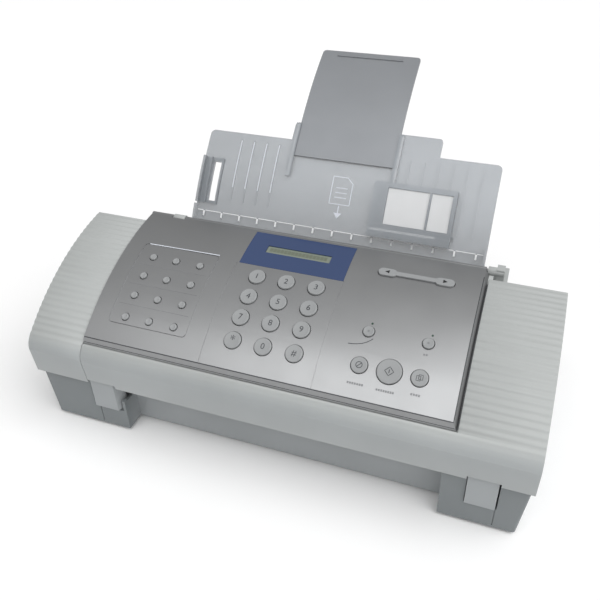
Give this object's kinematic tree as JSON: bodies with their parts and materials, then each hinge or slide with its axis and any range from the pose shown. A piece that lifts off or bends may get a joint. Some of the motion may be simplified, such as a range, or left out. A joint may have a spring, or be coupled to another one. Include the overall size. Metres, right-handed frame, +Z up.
{
  "type": "fax machine",
  "caption": "Desktop ink-jet fax machine with a curved operator panel on a hinged cover, a clear paper support with a pull-out extension, and a front paper exit.",
  "frame": {"origin": "middle of the whole machine's footprint, at floor level under the rubber feet", "axes": "+X to the machine's right as its user sees it, +Y to the back, +Z up"},
  "size_m": [0.39, 0.26, 0.2477],
  "materials": {
    "cover_plastic": "fine matt texture",
    "base_plastic": "fine matt texture",
    "latch_plastic": "fine matt texture",
    "silver_panel": "silver paint, brushed look",
    "blue_lens": "gloss",
    "key_plastic": "satin",
    "clear_plastic": "clear smoked plastic",
    "smoked_plastic": "satin silver tint",
    "dark_plastic": "matt",
    "cartridge_plastic": "satin",
    "foot_rubber": "matt",
    "belt_rubber": "matt",
    "roller_rubber": "matt",
    "gear_plastic": "satin",
    "rail_steel": "ground",
    "frame_steel": "zinc plated",
    "motor_steel": "satin",
    "board_green": "solder mask"
  },
  "bodies": {
    "base": {"base_chassis": "base_plastic", "rubber_feet": "foot_rubber", "left_end_cover": "cover_plastic", "rear_housing": "cover_plastic", "mechanism_frame": "frame_steel", "platen": "dark_plastic", "carriage_rail": "rail_steel", "carriage_belt": "belt_rubber", "drive_motors": "motor_steel", "main_board": "board_green", "rear_sockets": "dark_plastic", "power_supply": "motor_steel", "paper_support": "clear_plastic", "left_paper_guide": "clear_plastic"},
    "cover": {"top_cover": "cover_plastic", "operator_panel": "silver_panel", "display_lens": "blue_lens", "keypad_board": "board_green", "image_sensor": "dark_plastic"},
    "extension": {"support_extension": "smoked_plastic"},
    "sliding_guide": {"right_paper_guide": "clear_plastic"},
    "print_carriage": {"carriage": "dark_plastic", "ink_cartridge": "cartridge_plastic"},
    "latch_left": {"left_latch": "latch_plastic"},
    "latch_right": {"right_latch": "latch_plastic"},
    "feed": {"feed_roller": "roller_rubber"},
    "idler": {"idler_gear": "gear_plastic"},
    "exit": {"exit_roller": "roller_rubber"},
    "pickup": {"pickup_roller": "roller_rubber"},
    "document": {"document_roller": "roller_rubber"},
    "scroll_rocker": {"scroll_rocker": "key_plastic"},
    "one_touch_01": {"one_touch_01": "key_plastic"},
    "one_touch_02": {"one_touch_02": "key_plastic"},
    "one_touch_03": {"one_touch_03": "key_plastic"},
    "one_touch_04": {"one_touch_04": "key_plastic"},
    "one_touch_05": {"one_touch_05": "key_plastic"},
    "one_touch_06": {"one_touch_06": "key_plastic"},
    "one_touch_07": {"one_touch_07": "key_plastic"},
    "one_touch_08": {"one_touch_08": "key_plastic"},
    "one_touch_09": {"one_touch_09": "key_plastic"},
    "one_touch_10": {"one_touch_10": "key_plastic"},
    "one_touch_11": {"one_touch_11": "key_plastic"},
    "one_touch_12": {"one_touch_12": "key_plastic"},
    "dial_key_1": {"dial_key_1": "key_plastic"},
    "dial_key_2": {"dial_key_2": "key_plastic"},
    "dial_key_3": {"dial_key_3": "key_plastic"},
    "dial_key_4": {"dial_key_4": "key_plastic"},
    "dial_key_5": {"dial_key_5": "key_plastic"},
    "dial_key_6": {"dial_key_6": "key_plastic"},
    "dial_key_7": {"dial_key_7": "key_plastic"},
    "dial_key_8": {"dial_key_8": "key_plastic"},
    "dial_key_9": {"dial_key_9": "key_plastic"},
    "dial_key_star": {"dial_key_star": "key_plastic"},
    "dial_key_0": {"dial_key_0": "key_plastic"},
    "dial_key_hash": {"dial_key_hash": "key_plastic"},
    "stop_key": {"stop_key": "key_plastic"},
    "start_key": {"start_key": "key_plastic"},
    "copy_key": {"copy_key": "key_plastic"},
    "resolution_key": {"resolution_key": "key_plastic"},
    "receive_mode_key": {"receive_mode_key": "key_plastic"}
  },
  "joints": [
    {"name": "cover_hinge", "type": "hinge", "parent": "base", "child": "cover", "pos_m": [0, -0.0012, 0.1346], "axis": [-1, 0, 0], "range_deg": [0, 40]},
    {"name": "extension_slide", "type": "hinge", "parent": "base", "child": "extension", "pos_m": [0, 0.272, -0.0242], "axis": [1, 0, 0], "range_deg": [0, 10]},
    {"name": "guide_slide", "type": "slide", "parent": "base", "child": "sliding_guide", "axis": [1, 0, 0], "range_m": [-0.042, 0]},
    {"name": "carriage_slide", "type": "slide", "parent": "base", "child": "print_carriage", "axis": [1, 0, 0], "range_m": [-0.255, 0]},
    {"name": "left_latch_hinge", "type": "hinge", "parent": "cover", "child": "latch_left", "pos_m": [0, -0.1205, 0.058], "axis": [-1, 0, 0], "range_deg": [0, 8], "stiffness_Nm_per_rad": 0.05, "springref_deg": -2.86},
    {"name": "right_latch_hinge", "type": "hinge", "parent": "cover", "child": "latch_right", "pos_m": [0, -0.1205, 0.058], "axis": [-1, 0, 0], "range_deg": [0, 8], "stiffness_Nm_per_rad": 0.05, "springref_deg": -2.86},
    {"name": "feed_spin", "type": "hinge", "parent": "base", "child": "feed", "pos_m": [0, -0.05, 0.0285], "axis": [1, 0, 0], "continuous": true},
    {"name": "idler_spin", "type": "hinge", "parent": "base", "child": "idler", "pos_m": [0, -0.071, 0.0285], "axis": [1, 0, 0], "continuous": true},
    {"name": "exit_spin", "type": "hinge", "parent": "base", "child": "exit", "pos_m": [0, -0.09, 0.0285], "axis": [1, 0, 0], "continuous": true},
    {"name": "pickup_spin", "type": "hinge", "parent": "base", "child": "pickup", "pos_m": [0, -0.0083, 0.1185], "axis": [1, 0, 0], "continuous": true},
    {"name": "document_spin", "type": "hinge", "parent": "base", "child": "document", "pos_m": [0, -0.1, 0.066], "axis": [1, 0, 0], "continuous": true},
    {"name": "scroll_rocker_tilt", "type": "hinge", "parent": "cover", "child": "scroll_rocker", "pos_m": [0.0883, -0.0265, 0.13397], "axis": [0, 0.9839, 0.1787], "range_deg": [-1.5, 1.5], "stiffness_Nm_per_rad": 0.2},
    {"name": "one_touch_01_press", "type": "slide", "parent": "cover", "child": "one_touch_01", "axis": [0, 0.3068, -0.9518], "range_m": [0, 0.001], "stiffness_N_per_m": 250, "springref_m": -0.001},
    {"name": "one_touch_02_press", "type": "slide", "parent": "cover", "child": "one_touch_02", "axis": [0, 0.3068, -0.9518], "range_m": [0, 0.001], "stiffness_N_per_m": 250, "springref_m": -0.001},
    {"name": "one_touch_03_press", "type": "slide", "parent": "cover", "child": "one_touch_03", "axis": [0, 0.3068, -0.9518], "range_m": [0, 0.001], "stiffness_N_per_m": 250, "springref_m": -0.001},
    {"name": "one_touch_04_press", "type": "slide", "parent": "cover", "child": "one_touch_04", "axis": [0, 0.3908, -0.9205], "range_m": [0, 0.001], "stiffness_N_per_m": 250, "springref_m": -0.001},
    {"name": "one_touch_05_press", "type": "slide", "parent": "cover", "child": "one_touch_05", "axis": [0, 0.3908, -0.9205], "range_m": [0, 0.001], "stiffness_N_per_m": 250, "springref_m": -0.001},
    {"name": "one_touch_06_press", "type": "slide", "parent": "cover", "child": "one_touch_06", "axis": [0, 0.3908, -0.9205], "range_m": [0, 0.001], "stiffness_N_per_m": 250, "springref_m": -0.001},
    {"name": "one_touch_07_press", "type": "slide", "parent": "cover", "child": "one_touch_07", "axis": [0, 0.4686, -0.8834], "range_m": [0, 0.001], "stiffness_N_per_m": 250, "springref_m": -0.001},
    {"name": "one_touch_08_press", "type": "slide", "parent": "cover", "child": "one_touch_08", "axis": [0, 0.4686, -0.8834], "range_m": [0, 0.001], "stiffness_N_per_m": 250, "springref_m": -0.001},
    {"name": "one_touch_09_press", "type": "slide", "parent": "cover", "child": "one_touch_09", "axis": [0, 0.4686, -0.8834], "range_m": [0, 0.001], "stiffness_N_per_m": 250, "springref_m": -0.001},
    {"name": "one_touch_10_press", "type": "slide", "parent": "cover", "child": "one_touch_10", "axis": [0, 0.5454, -0.8382], "range_m": [0, 0.001], "stiffness_N_per_m": 250, "springref_m": -0.001},
    {"name": "one_touch_11_press", "type": "slide", "parent": "cover", "child": "one_touch_11", "axis": [0, 0.5454, -0.8382], "range_m": [0, 0.001], "stiffness_N_per_m": 250, "springref_m": -0.001},
    {"name": "one_touch_12_press", "type": "slide", "parent": "cover", "child": "one_touch_12", "axis": [0, 0.5454, -0.8382], "range_m": [0, 0.001], "stiffness_N_per_m": 250, "springref_m": -0.001},
    {"name": "dial_key_1_press", "type": "slide", "parent": "cover", "child": "dial_key_1", "axis": [0, 0.3068, -0.9518], "range_m": [0, 0.001], "stiffness_N_per_m": 250, "springref_m": -0.001},
    {"name": "dial_key_2_press", "type": "slide", "parent": "cover", "child": "dial_key_2", "axis": [0, 0.3068, -0.9518], "range_m": [0, 0.001], "stiffness_N_per_m": 250, "springref_m": -0.001},
    {"name": "dial_key_3_press", "type": "slide", "parent": "cover", "child": "dial_key_3", "axis": [0, 0.3068, -0.9518], "range_m": [0, 0.001], "stiffness_N_per_m": 250, "springref_m": -0.001},
    {"name": "dial_key_4_press", "type": "slide", "parent": "cover", "child": "dial_key_4", "axis": [0, 0.3908, -0.9205], "range_m": [0, 0.001], "stiffness_N_per_m": 250, "springref_m": -0.001},
    {"name": "dial_key_5_press", "type": "slide", "parent": "cover", "child": "dial_key_5", "axis": [0, 0.3908, -0.9205], "range_m": [0, 0.001], "stiffness_N_per_m": 250, "springref_m": -0.001},
    {"name": "dial_key_6_press", "type": "slide", "parent": "cover", "child": "dial_key_6", "axis": [0, 0.3908, -0.9205], "range_m": [0, 0.001], "stiffness_N_per_m": 250, "springref_m": -0.001},
    {"name": "dial_key_7_press", "type": "slide", "parent": "cover", "child": "dial_key_7", "axis": [0, 0.4686, -0.8834], "range_m": [0, 0.001], "stiffness_N_per_m": 250, "springref_m": -0.001},
    {"name": "dial_key_8_press", "type": "slide", "parent": "cover", "child": "dial_key_8", "axis": [0, 0.4686, -0.8834], "range_m": [0, 0.001], "stiffness_N_per_m": 250, "springref_m": -0.001},
    {"name": "dial_key_9_press", "type": "slide", "parent": "cover", "child": "dial_key_9", "axis": [0, 0.4686, -0.8834], "range_m": [0, 0.001], "stiffness_N_per_m": 250, "springref_m": -0.001},
    {"name": "dial_key_star_press", "type": "slide", "parent": "cover", "child": "dial_key_star", "axis": [0, 0.5454, -0.8382], "range_m": [0, 0.001], "stiffness_N_per_m": 250, "springref_m": -0.001},
    {"name": "dial_key_0_press", "type": "slide", "parent": "cover", "child": "dial_key_0", "axis": [0, 0.5454, -0.8382], "range_m": [0, 0.001], "stiffness_N_per_m": 250, "springref_m": -0.001},
    {"name": "dial_key_hash_press", "type": "slide", "parent": "cover", "child": "dial_key_hash", "axis": [0, 0.5454, -0.8382], "range_m": [0, 0.001], "stiffness_N_per_m": 250, "springref_m": -0.001},
    {"name": "stop_key_press", "type": "slide", "parent": "cover", "child": "stop_key", "axis": [0, 0.5372, -0.8435], "range_m": [0, 0.001], "stiffness_N_per_m": 250, "springref_m": -0.001},
    {"name": "start_key_press", "type": "slide", "parent": "cover", "child": "start_key", "axis": [0, 0.5372, -0.8435], "range_m": [0, 0.001], "stiffness_N_per_m": 250, "springref_m": -0.001},
    {"name": "copy_key_press", "type": "slide", "parent": "cover", "child": "copy_key", "axis": [0, 0.5372, -0.8435], "range_m": [0, 0.001], "stiffness_N_per_m": 250, "springref_m": -0.001},
    {"name": "resolution_key_press", "type": "slide", "parent": "cover", "child": "resolution_key", "axis": [0, 0.4285, -0.9035], "range_m": [0, 0.001], "stiffness_N_per_m": 250, "springref_m": -0.001},
    {"name": "receive_mode_key_press", "type": "slide", "parent": "cover", "child": "receive_mode_key", "axis": [0, 0.4285, -0.9035], "range_m": [0, 0.001], "stiffness_N_per_m": 250, "springref_m": -0.001}
  ],
  "couplings": [
    {"joint": "idler_spin", "follows": "feed_spin", "ratio": -1.1},
    {"joint": "exit_spin", "follows": "feed_spin", "ratio": 1.2222}
  ]
}
